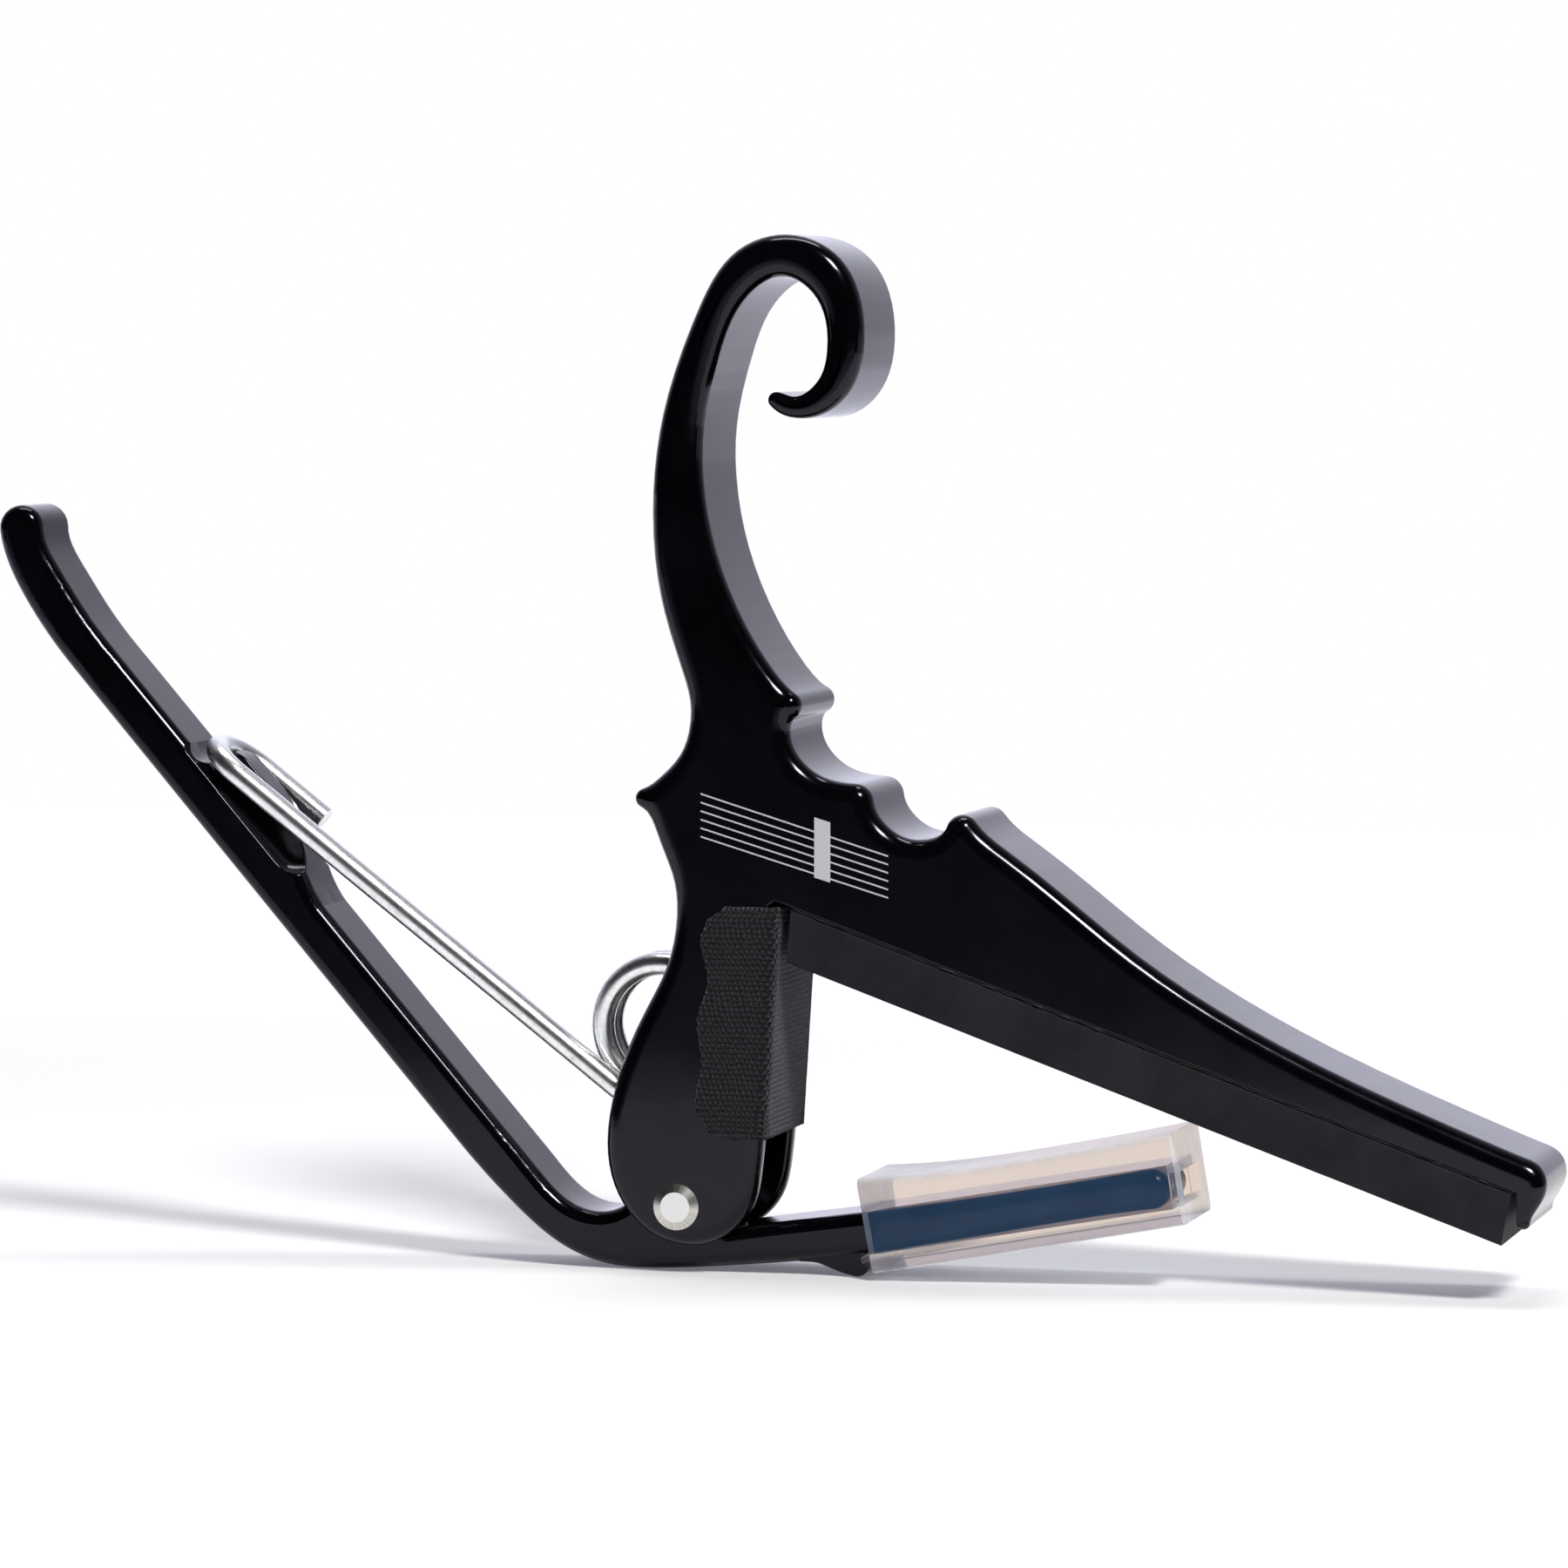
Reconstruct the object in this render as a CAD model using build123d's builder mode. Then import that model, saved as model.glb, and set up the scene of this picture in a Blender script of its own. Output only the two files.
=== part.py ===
"""Spring-loaded guitar capo: a forked, hook-handled aluminium body, a squeeze lever on a pin,
a torsion spring, the string pad under the bar, the vinyl boot on the lever and a cloth guard.

Units are millimetres and +Z is up. The capo stands on the underside of its lever, with its thickness
along Y. The profiles are drawn from the pivot: X to the right along the bar, Z up.
"""

import os
from math import cos, degrees, hypot, radians, sin

from build123d import *

os.makedirs("parts", exist_ok=True)

# ---------------------------------------------------------------- driving dimensions
PIVOT_X = -5.12            # pivot from the middle of the capo's length
PIVOT_Z = 5.0              # pivot above the surface that it stands on

BODY_T = 11.1              # body thickness, 7/16 inch
BODY_ROUND = 0.4           # softened edges of the body
BAR_FOOT_X, BAR_FOOT_Z = 8.40, 22.13   # where the bar's underside meets the fork
BAR_FALL = 0.3601          # fall of the bar's underside
SLOT_W = 7.1               # fork slot between the two ears
SLOT_ROOF = 19.4           # slot roof above the pivot

LEVER_T = 6.8              # lever width, running in the slot
LEVER_ROUND = 0.9          # rounded edges of the lever
LEVER_SLOPE = -1.151       # fall of the straight handle
HEEL_INSET = 0.4           # heel's sides, in from the lever's
HUB_R = 3.6                # lever hub around the pin

PIN_R = 1.7                # pivot pin, pressed into the ears
PIN_PROUD = 0.3            # pin end beyond each ear
PIN_BEVEL = 0.6            # width of the pin's bevelled rim
PIN_CLEARANCE = 0.05       # radial running clearance in the lever

PAD_T = 3.95               # pad and its glue, square to the bar
PAD_W = 10.9               # pad width along Y
PAD_ROUND = 0.3            # softened lower edges of the pad
PAD_START, PAD_END = 0.3, 56.1         # ends of the pad, along the bar's underside
PAD_SLANT, END_SLANT = 1.0, 0.6        # how far the pad's lower corners lie beyond its upper ones
GLUE_T = 0.15              # glue film between pad and bar
GLUE_INSET = 0.1           # glue film's sides, in from the pad's

WIRE_R = 0.85              # spring wire, 1.7 mm
COIL_R = 4.75              # coil radius at the wire's centre
COIL_X, COIL_Z = -2.1, 12.6    # coil centre from the pivot
COIL_SIDE = 2.5            # first and last turns, each side of the middle
COIL_START, COIL_END = 285.0, 1080.0   # from the long arm's side round to the short leg, in degrees
ARM_SLOPE = -0.775         # fall of the long spring arm towards the coil
HOOK_X, HOOK_Z = -36.85, 32.7    # far end of the arm's hook, at the wire's centre
HOOK_R = 3.1               # half of the space between the hook's two legs
RETURN_LEG = 5.9           # free leg behind the lever
COIL_POINTS = 27           # points along the coil's centre line
CUT_GAP = 0.3              # between the coil's end face and the arm's
LEG_BORE_R = 1.0           # blind hole that anchors the short leg
LEG_BORE_DEPTH = 6.0
LEG_BORE_SPARE = 1.0       # bore beyond the leg's end

FIN_FOOT_X = -37.58        # handle's upper edge under the hook, where the fin's lengths start
FIN_NOSE = 1.05            # fin's end inside the hook
FIN_NOSE_R = 2.0           # its rounding, seen from above
FIN_HEIGHT = 2.2           # fin above the handle's upper edge
FIN_ROUND = 0.15           # softened upper edges of the fin
SEAT_R, SEAT_DEPTH = 1.6, 0.35         # shallow seat across the handle under the hook
SCOOP_R = 2.7              # scoops along both sides of the fin
SCOOP_SIDE, SCOOP_LIFT = 4.1, 2.1      # scoop axis from the middle, and above the upper edge
CREASE_ANGLE = 15          # least angle of an edge that is softened, in degrees
SCOOP_HIGH, SCOOP_LOW = -0.3, 10.0     # ends of the scoop axis

BOOT_W = 10.2              # vinyl boot width along Y
BOOT_ROUND = 0.7
BOOT_CLEARANCE = 0.05      # between the tongue's sides and the boot's tunnel
BOOT_WINDOW_W = 6.2        # window in the boot's end wall

CLOTH_T = 0.4              # woven guard tape
CLOTH_BOTTOM, CLOTH_TOP = 5.1, 22.0
CLOTH_LEFT = 1.9           # free edge of each flap

SIDE = Plane(origin=(PIVOT_X, 0, PIVOT_Z), x_dir=(1, 0, 0), z_dir=(0, -1, 0))


def underside(x):
    """Height of the bar's straight underside, which falls towards the bar's end."""
    return BAR_FOOT_Z - BAR_FALL * (x - BAR_FOOT_X)


def curve(*points, ends):
    """Smooth curve through the points, with its direction at both ends."""
    return Spline(*points, tangents=ends, tangent_scalars=(1, 1))


def rim(part, y):
    """Outline edges of the flat side face at y."""
    face = part.faces().filter_by(lambda flat: abs(flat.center().Y - y) < 1e-3 and abs(flat.normal_at().Y) > 0.999)[0]
    return face.outer_wire().edges()


# ---------------------------------------------------------------- body: hook, web, bar and fork
with BuildPart() as clamp_body:
    with BuildSketch(SIDE):
        with BuildLine():
            # tight turns of the outline, which the long curves run into tangentially
            nose = ThreePointArc((6.98, 58.2), (6.83, 58.7), (7.3, 59.17))
            point = ThreePointArc((8.75, 37.45), (9.23, 36.6), (8.75, 35.72))
            step = ThreePointArc((13.2, 31.02), (14.15, 30.6), (14.55, 29.75))
            apex = ThreePointArc((20.0, 28.1), (21.0, 28.9), (22.1, 28.42))
            lip = ThreePointArc((62.45, 0.85), (61.98, 0.4), (61.5, 0.85))
            spur = ThreePointArc((-2.9, 29.15), (-3.18, 29.75), (-2.75, 30.36))
            notch, beak = (0.86, 36.1), (61.2, 5.7)
            # neck and hook, outer edge from the left notch over the crown to the nose
            curve(notch, (0.15, 39.2), (-1.35, 44.2), (-1.98, 50.2), (-1.3, 57.1), (1.3, 64.8),
                   (4.3, 69.3), (7.95, 70.5), (11.85, 68.95), (13.84, 63.2), (12.5, 58.85), (10.3, 57.4),
                   (9.1, 57.27), (7.7, 57.62), nose @ 0, ends=[(0, 1), nose % 0])
            # inside of the hook and the neck's right edge, down to the small point
            curve(nose @ 1, (8.6, 58.88), (10.2, 59.75), (11.06, 62.4), (10.2, 66.0), (7.8, 67.46),
                   (5.2, 66.1), (3.0, 61.67), (1.85, 56.5), (1.87, 52.4), (2.92, 47.22), (4.6, 43.1),
                   (7.0, 39.2), point @ 0, ends=[nose % 1, point % 0])
            # scallops between the neck and the bar
            curve(point @ 1, (8.34, 34.7), (8.92, 32.95), (10.6, 31.55), step @ 0, ends=[point % 1, step % 0])
            curve(step @ 1, (15.4, 28.15), (17.9, 27.05), apex @ 0, ends=[step % 1, apex % 0])
            # bar, from its shoulder to the lip round the pad's end
            curve(apex @ 1, (24.77, 26.15), (33.7, 19.3), (46.35, 11.95), beak, ends=[apex % 1, (0.93, -0.37)])
            curve(beak, (63.0, 4.85), (63.53, 3.6), (63.0, 2.0), lip @ 0, ends=[(0.93, -0.37), lip % 0])
            Line(lip @ 1, (61.5, underside(61.5)))
            Line((61.5, underside(61.5)), (7.45, underside(7.45)))
            # fork: mouth side, round bottom of the ears, and back up to the spur
            Line((7.45, underside(7.45)), (6.4, 5.5))
            curve((6.4, 5.5), (6.15, 3.0), (5.5, 0.1), (4.0, -1.78), (1.3, -2.88), (-2.3, -2.02),
                   (-4.92, 1.24), (-5.48, 3.9), (-4.83, 8.7), (-2.75, 13.88), (-0.97, 17.43), (-0.25, 20.6),
                   (-0.43, 23.8), (-1.42, 26.43), spur @ 0, ends=[(-0.07, -1), spur % 0])
            curve(spur @ 1, (-1.4, 31.3), (0.12, 33.0), notch, ends=[spur % 1, (0, 1)])
        make_face()
    extrude(amount=BODY_T / 2, both=True)
    for side in (-BODY_T / 2, BODY_T / 2):
        fillet(rim(clamp_body, side), BODY_ROUND)
    # slot for the lever and the coil
    with BuildSketch(SIDE):
        with Locations((1, SLOT_ROOF / 2 - 3)):
            Rectangle(20, SLOT_ROOF + 6)
    extrude(amount=SLOT_W / 2, both=True, mode=Mode.SUBTRACT)
    # pin hole through both ears
    with BuildSketch(SIDE):
        Circle(PIN_R)
    extrude(amount=BODY_T, both=True, mode=Mode.SUBTRACT)
    # blind hole that the spring's short leg stands in
    with BuildSketch(Plane.XY.offset(PIVOT_Z + SLOT_ROOF)):
        with Locations((PIVOT_X + COIL_X + COIL_R, COIL_SIDE)):
            Circle(LEG_BORE_R)
    extrude(amount=LEG_BORE_DEPTH, mode=Mode.SUBTRACT)
clamp_body.part.label = "clamp_body"

# ---------------------------------------------------------------- lever: handle, hub, jaw arm
def lever_top(x):
    """Upper edge of the straight part of the handle."""
    return 5.41 + LEVER_SLOPE * (x + 14.3)


slope_len = hypot(1, LEVER_SLOPE)


def on_handle(along, height):
    """Point down the handle from the fin's start, and square to the handle's upper edge."""
    x = FIN_FOOT_X + (along - height * LEVER_SLOPE) / slope_len
    return (x, lever_top(FIN_FOOT_X + along / slope_len) + height / slope_len)


def handle_vector(along, height, side):
    """The same point, to one side of the middle."""
    across, up = on_handle(along, height)
    return Vector(PIVOT_X + across, side, PIVOT_Z + up)


def is_fin_crease(part, edge):
    """True on the sharp edges that the scoops leave on the fin and along the handle beside it."""
    middle = edge @ 0.5
    here = middle - handle_vector(0, 0, 0)
    along = here.dot(Vector(1, 0, LEVER_SLOPE)) / slope_len
    height = here.dot(Vector(-LEVER_SLOPE, 0, 1)) / slope_len
    if edge.length < 1 or not 1 < along < 13 or height < -0.6 or abs(height) < 0.05:
        return False
    first, second = (face.normal_at(middle) for face in part.faces() if edge in face.edges())
    return first.get_angle(second) > CREASE_ANGLE


# fin: a swelling of the handle's upper edge that runs out towards the hub, with a round nose
nose_middle = FIN_NOSE + FIN_NOSE_R
with BuildPart() as fin:
    with BuildSketch(SIDE):
        with BuildLine():
            Polyline(on_handle(16, -0.12), on_handle(16, -1.6), on_handle(0.6, -1.6), on_handle(0.6, 0.8))
            level = (1 / slope_len, LEVER_SLOPE / slope_len)
            curve(on_handle(0.6, 0.8), on_handle(1.2, 1.7), on_handle(2.7, FIN_HEIGHT),
                  ends=[(-level[1], level[0]), level])
            curve(on_handle(2.7, FIN_HEIGHT), on_handle(7.3, 2.1), on_handle(9.8, 1.5), on_handle(11.7, 0.74),
                  on_handle(13.4, 0.2), on_handle(15.2, -0.06), on_handle(16.0, -0.12), ends=[level, level])
        make_face()
    extrude(amount=LEVER_T / 2, both=True)
    with BuildSketch(Plane(origin=handle_vector(0, -2, 0), x_dir=(1, 0, LEVER_SLOPE), z_dir=(-LEVER_SLOPE, 0, 1))):
        with Locations((nose_middle, 0)):
            Circle(FIN_NOSE_R)
        with Locations((nose_middle + 10, 0)):
            Rectangle(20, LEVER_T)
    extrude(amount=6, mode=Mode.INTERSECT)
    fillet(fin.edges().filter_by(lambda edge: abs(abs(edge.center().Y) - LEVER_T / 2) < 0.01 and edge.length > 6
                                 and edge.geom_type != GeomType.LINE), LEVER_ROUND)

with BuildPart() as squeeze_lever:
    with BuildSketch(SIDE):
        with BuildLine():
            # straight flanks and round ends, which the long curves run into tangentially
            tip = ThreePointArc((-49.85, 48.9), (-51.6, 50.6), (-53.24, 48.7))
            lower = Line((-45.63, 36.37), (-17.5, 3.93))
            tongue_tip = ThreePointArc((34.9, 0.66), (36.1, 2.4), (34.4, 3.5))
            hub = ThreePointArc((3.11, -1.82), (0, HUB_R), (-3.12, 1.8))
            upper = Line((-14.3, lever_top(-14.3)), (-42.75, lever_top(-42.75)))
            # handle's lower edge, foot, and the underside of the arm and tongue
            curve(tip @ 1, (-52.75, 46.7), (-51.3, 43.75), (-48.88, 40.21), lower @ 0, ends=[tip % 1, lower % 0])
            curve(lower @ 1, (-13.25, -0.5), (-9.4, -3.5), (-5.55, -4.82), (-2.6, -4.94), (4.7, -4.42), (9.2, -3.96),
                  (14.3, -3.2), tongue_tip @ 0, ends=[lower % 1, tongue_tip % 0])
            # upper side of the tongue and arm, up to the hub
            curve(tongue_tip @ 1, (13.8, -0.22), (7.4, -1.14), hub @ 0, ends=[tongue_tip % 1, (-0.98, -0.17)])
            # saddle beside the hub, and the upper edge of the handle's end
            curve(hub @ 1, (-4.6, -0.25), (-6.7, -0.9), (-9.0, -0.2), (-11.7, 2.42), upper @ 0,
                  ends=[hub % 1, upper % 0])
            curve(upper @ 1, (-46.0, 42.0), (-48.6, 45.9), tip @ 0, ends=[upper % 1, tip % 0])
        make_face()
    extrude(amount=LEVER_T / 2, both=True)
    for side in (-LEVER_T / 2, LEVER_T / 2):
        fillet(rim(squeeze_lever, side), LEVER_ROUND)
    # heel that the boot butts against
    with BuildSketch(SIDE):
        with BuildLine():
            Polyline((8.6, -3.3), (8.6, -4.0), (9.6, -4.02))
            curve((9.6, -4.02), (11.2, -4.5), (12.6, -4.9), ends=[(1, -0.05), (1, -0.15)])
            ThreePointArc((12.6, -4.9), (13.5, -4.78), (13.85, -4.3))
            ThreePointArc((13.85, -4.3), (13.25, -3.75), (13.5, -3.2))
            Polyline((13.5, -3.2), (13.2, -2.6), (8.6, -3.3))
        make_face()
    extrude(amount=LEVER_T / 2 - HEEL_INSET, both=True)
    # fin that the spring's hook straddles, with a scoop along each side of it
    add(fin.part)
    for side in (-SCOOP_SIDE, SCOOP_SIDE):
        low, high = handle_vector(SCOOP_LOW, SCOOP_LIFT, side), handle_vector(SCOOP_HIGH, SCOOP_LIFT, side)
        with BuildSketch(Plane(origin=low, z_dir=high - low)):
            Circle(SCOOP_R)
        extrude(amount=(high - low).length, mode=Mode.SUBTRACT)
        for end in (low, high):
            with Locations(end):
                Sphere(SCOOP_R, mode=Mode.SUBTRACT)
    fillet([edge for edge in squeeze_lever.edges() if is_fin_crease(squeeze_lever.part, edge)], FIN_ROUND)
    # seat across the handle under the hook
    with BuildSketch(SIDE):
        with Locations(on_handle(-0.1, SEAT_R - SEAT_DEPTH)):
            Circle(SEAT_R)
    extrude(amount=LEVER_T, both=True, mode=Mode.SUBTRACT)
    # pin bore
    with BuildSketch(SIDE):
        Circle(PIN_R + PIN_CLEARANCE)
    extrude(amount=LEVER_T, both=True, mode=Mode.SUBTRACT)
squeeze_lever.part.label = "squeeze_lever"

# ---------------------------------------------------------------- pivot pin
PIN_HALF = BODY_T / 2 + PIN_PROUD
with BuildPart() as pivot_pin:
    with BuildSketch(SIDE):
        Circle(PIN_R)
    extrude(amount=PIN_HALF, both=True)
    chamfer(pivot_pin.faces().filter_by(Axis.Y).edges(), length=PIN_PROUD, length2=PIN_BEVEL)
pivot_pin.part.label = "pivot_pin"

# ---------------------------------------------------------------- string pad and its glue
bar_len = hypot(1, BAR_FALL)


def under_bar(along, depth):
    """Point at a distance along the bar's underside and a depth square to it."""
    return (BAR_FOOT_X + (along - BAR_FALL * depth) / bar_len, BAR_FOOT_Z - (BAR_FALL * along + depth) / bar_len)


with BuildPart() as pad_adhesive:
    with BuildSketch(SIDE):
        Polygon(under_bar(PAD_START, 0), under_bar(PAD_END, 0), under_bar(PAD_END, GLUE_T),
                under_bar(PAD_START, GLUE_T), align=None)
    extrude(amount=PAD_W / 2 - GLUE_INSET, both=True)
pad_adhesive.part.label = "pad_adhesive"

with BuildPart() as string_pad:
    with BuildSketch(SIDE):
        Polygon(under_bar(PAD_START, GLUE_T), under_bar(PAD_END, GLUE_T), under_bar(PAD_END + END_SLANT, PAD_T),
                under_bar(PAD_START + PAD_SLANT, PAD_T), align=None)
    extrude(amount=PAD_W / 2, both=True)
    pad_bottom = string_pad.faces().sort_by(Axis((0, 0, 0), (-BAR_FALL, 0, -1)))[-1]
    fillet(pad_bottom.edges(), PAD_ROUND)
string_pad.part.label = "string_pad"

# ---------------------------------------------------------------- torsion spring: coil, then long arm
def coil_point(angle):
    """Point of the coil's centre line at an angle, counted anticlockwise from the front."""
    share = (angle - COIL_START) / (COIL_END - COIL_START)
    return Vector(PIVOT_X + COIL_X + COIL_R * cos(radians(angle)), COIL_SIDE * (2 * share - 1),
                  PIVOT_Z + COIL_Z + COIL_R * sin(radians(angle)))


gap_angle = degrees(CUT_GAP / COIL_R)
coil_points = [coil_point(COIL_START + gap_angle + (COIL_END - COIL_START - gap_angle) * i / (COIL_POINTS - 1))
               for i in range(COIL_POINTS)]
leg_foot = coil_points[-1]
leg_end = leg_foot + Vector(0, 0, SLOT_ROOF + LEG_BORE_DEPTH - LEG_BORE_SPARE - COIL_Z)
coil_rise = 2 * COIL_SIDE / radians(COIL_END - COIL_START) / COIL_R
start_slope = radians(COIL_START + gap_angle + 90)

with BuildPart() as spring_coil:
    with BuildLine():
        turns = curve(*coil_points, ends=[(cos(start_slope), coil_rise, sin(start_slope)), (0, 0, 1)])
        Line(leg_foot, leg_end)
    with BuildSketch(Plane(origin=turns @ 0, z_dir=turns % 0)):
        Circle(WIRE_R)
    sweep()
spring_coil.part.label = "spring_coil"

arm_len = hypot(1, ARM_SLOPE)
outward = Vector(-1 / arm_len, 0, -ARM_SLOPE / arm_len)         # along the arm towards its hook
hook_tip = Vector(PIVOT_X + HOOK_X, 0, PIVOT_Z + HOOK_Z)
hook_centre = hook_tip - outward * HOOK_R
to_side = Vector(0, HOOK_R, 0)
coil_centre = Vector(PIVOT_X + COIL_X, 0, PIVOT_Z + COIL_Z)
reach = (hook_centre - coil_centre).dot(outward)
arm_root = hook_centre - outward * reach - Vector(0, COIL_SIDE, 0)       # abreast of the coil's centre
with BuildPart() as spring_arm:
    with BuildLine():
        start_slope = radians(COIL_START + 90)
        bend = curve(coil_point(COIL_START), arm_root,
                      ends=[(-cos(start_slope), -coil_rise, -sin(start_slope)), outward])
        curve(arm_root, hook_centre - to_side, ends=[outward, outward])
        ThreePointArc(hook_centre - to_side, hook_tip, hook_centre + to_side)
        Line(hook_centre + to_side, hook_centre + to_side - outward * RETURN_LEG)
    with BuildSketch(Plane(origin=bend @ 0, z_dir=bend % 0)):
        Circle(WIRE_R)
    sweep()
spring_arm.part.label = "spring_arm"

# ---------------------------------------------------------------- vinyl boot on the lever's tongue
with BuildPart() as neck_sleeve:
    with BuildSketch(SIDE):
        with BuildLine():
            Line((36.4, 6.35), (37.5, -0.2))
            Line((37.5, -0.2), (14.65, -4.49))
            Line((14.65, -4.49), (13.4, 2.37))
            curve((13.4, 2.37), (18.5, 2.85), (27.5, 4.42), (36.4, 6.35), ends=[(1, 0.05), (0.97, 0.24)])
        make_face()
    extrude(amount=BOOT_W / 2, both=True)
    fillet(neck_sleeve.edges().filter_by(lambda edge: abs(abs(edge.center().Y) - BOOT_W / 2) < 0.01
                                         and edge.length > 12), BOOT_ROUND)
    # tunnel for the tongue, then the smaller window in the end wall
    with BuildSketch(SIDE):
        Polygon((12.0, -3.65), (36.45, 0.8), (35.95, 3.94), (12.0, -0.42), align=None)
    extrude(amount=LEVER_T / 2 + BOOT_CLEARANCE, both=True, mode=Mode.SUBTRACT)
    with BuildSketch(SIDE):
        Polygon((35.0, 1.0), (39.0, 1.72), (38.6, 3.8), (34.6, 3.08), align=None)
    extrude(amount=BOOT_WINDOW_W / 2, both=True, mode=Mode.SUBTRACT)
neck_sleeve.part.label = "neck_sleeve"

# ---------------------------------------------------------------- woven guard round the fork's mouth


def mouth(z, beyond):
    """Point beyond the fork's mouth edge at a height."""
    return (6.4 + 1.05 * (z - 5.5) / 16.97 + beyond, z)


with BuildPart() as fork_cloth:
    with BuildSketch(SIDE):
        Polygon((CLOTH_LEFT, CLOTH_TOP), (CLOTH_LEFT, 7.2), (3.66, CLOTH_BOTTOM), mouth(CLOTH_BOTTOM, CLOTH_T),
                mouth(CLOTH_TOP, CLOTH_T), align=None)
    extrude(amount=BODY_T / 2 + CLOTH_T, both=True)
    fold_edges = fork_cloth.edges().filter_by(lambda edge: edge.length > 15 and edge.center().X > PIVOT_X + 5)
    fillet(fold_edges, CLOTH_T)
    with BuildSketch(SIDE):
        Polygon((-2, 25), (-2, 2), mouth(2, 0), mouth(25, 0), align=None)
    extrude(amount=BODY_T / 2, both=True, mode=Mode.SUBTRACT)
fork_cloth.part.label = "fork_cloth"

for piece in (clamp_body, squeeze_lever, pivot_pin, pad_adhesive, string_pad, spring_coil, spring_arm, neck_sleeve,
              fork_cloth):
    export_step(piece.part, f"parts/{piece.part.label}.step")
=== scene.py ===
"""Looks for the guitar capo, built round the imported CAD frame.

Lengths are metres, except in the sections that say millimetres: at() turns those into places from the pivot.
"""

import math

import bmesh
import bpy
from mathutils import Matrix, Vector, kdtree, noise


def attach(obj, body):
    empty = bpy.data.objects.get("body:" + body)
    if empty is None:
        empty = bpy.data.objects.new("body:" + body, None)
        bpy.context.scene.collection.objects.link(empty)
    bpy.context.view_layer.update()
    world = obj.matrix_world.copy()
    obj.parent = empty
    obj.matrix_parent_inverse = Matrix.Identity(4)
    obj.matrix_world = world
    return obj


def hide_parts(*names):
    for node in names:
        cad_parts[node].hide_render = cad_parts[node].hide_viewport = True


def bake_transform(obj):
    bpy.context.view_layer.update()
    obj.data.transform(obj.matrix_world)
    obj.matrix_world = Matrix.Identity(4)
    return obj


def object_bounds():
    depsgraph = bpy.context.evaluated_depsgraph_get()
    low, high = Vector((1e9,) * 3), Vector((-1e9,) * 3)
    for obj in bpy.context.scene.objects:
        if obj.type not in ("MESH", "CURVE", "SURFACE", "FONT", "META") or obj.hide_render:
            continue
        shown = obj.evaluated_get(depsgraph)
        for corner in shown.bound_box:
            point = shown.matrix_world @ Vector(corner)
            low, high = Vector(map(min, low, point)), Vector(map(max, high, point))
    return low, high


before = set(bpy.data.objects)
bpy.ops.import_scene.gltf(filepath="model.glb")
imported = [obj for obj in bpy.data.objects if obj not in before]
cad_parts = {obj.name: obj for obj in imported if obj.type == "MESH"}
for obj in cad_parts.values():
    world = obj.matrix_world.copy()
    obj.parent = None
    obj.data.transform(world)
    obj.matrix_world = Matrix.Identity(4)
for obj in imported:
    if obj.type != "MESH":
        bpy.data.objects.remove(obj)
CAD_LOW, CAD_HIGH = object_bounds()
MM = 0.001
PIVOT = Vector((-5.12, 0.0, 5.0)) * MM

# sizes that more than one section uses, in millimetres
FACE_HALF = 5.55
BAR_FOOT_X, BAR_FOOT_Z, BAR_FALL = 8.40, 22.13, 0.3601
CLOTH_WIDTH = 22.9


def at(x, y, z):
    """Point from the pivot in millimetres, as a row-frame vector in metres."""
    return PIVOT + Vector((x, y, z)) * MM


# ---------------------------------------------------------------- camera
YAW, PITCH = math.radians(15.1), math.radians(3.766)
LENS, SENSOR = 158.0, 36.0
NEAREST, FARTHEST = 0.02, 20.0
CAMERA_PLACE = at(137.125, -483.570, 63.552)
camera_data = bpy.data.cameras.new("camera")
camera_data.lens = LENS
camera_data.sensor_width = SENSOR
camera_data.clip_start = NEAREST
camera_data.clip_end = FARTHEST
camera = bpy.data.objects.new("camera", camera_data)
camera.location = CAMERA_PLACE
camera.rotation_euler = (math.pi / 2 - PITCH, 0.0, YAW)
bpy.context.scene.collection.objects.link(camera)
bpy.context.scene.camera = camera
bpy.context.scene.view_settings.view_transform = "Standard"


# ---------------------------------------------------------------- node helpers
def add(tree, kind, **settings):
    """Makes a shader node. A setting that names an input sets or links it, and any other is a property."""
    made = tree.nodes.new(kind)
    for key, value in settings.items():
        name = key.replace("_", " ")
        if name not in made.inputs and hasattr(made, key):
            setattr(made, key, value)
        else:
            put(tree, made.inputs[name], value)
    return made


def put(tree, socket, value):
    """Links a value if it is an output socket, and otherwise sets it."""
    if isinstance(value, bpy.types.NodeSocket):
        tree.links.new(value, socket)
    else:
        socket.default_value = value


def math_node(tree, operation, a, b=0.0):
    made = tree.nodes.new("ShaderNodeMath")
    made.operation = operation
    put(tree, made.inputs[0], a)
    put(tree, made.inputs[1], b)
    return made.outputs[0]


def plus(tree, a, b):
    return math_node(tree, "ADD", a, b)


def minus(tree, a, b):
    return math_node(tree, "SUBTRACT", a, b)


def times(tree, a, b):
    return math_node(tree, "MULTIPLY", a, b)


def larger(tree, a, b):
    return math_node(tree, "MAXIMUM", a, b)


def axes(tree, vector):
    """The X, Y and Z outputs of a vector."""
    return add(tree, "ShaderNodeSeparateXYZ", Vector=vector).outputs


def opaque(colour):
    """A colour or a single grey, as red, green, blue and alpha."""
    return (*colour, 1.0) if hasattr(colour, "__len__") else (colour, colour, colour, 1.0)


def ramp(tree, value, *stops):
    """Colour ramp with (position, colour or grey) stops, in rising order."""
    made = tree.nodes.new("ShaderNodeValToRGB")
    put(tree, made.inputs[0], value)
    elements = made.color_ramp.elements
    for element, (place, colour) in zip(elements, (stops[0], stops[-1])):
        element.position = place
        element.color = opaque(colour)
    for place, colour in stops[1:-1]:
        elements.new(place).color = opaque(colour)
    return made.outputs["Color"]


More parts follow.
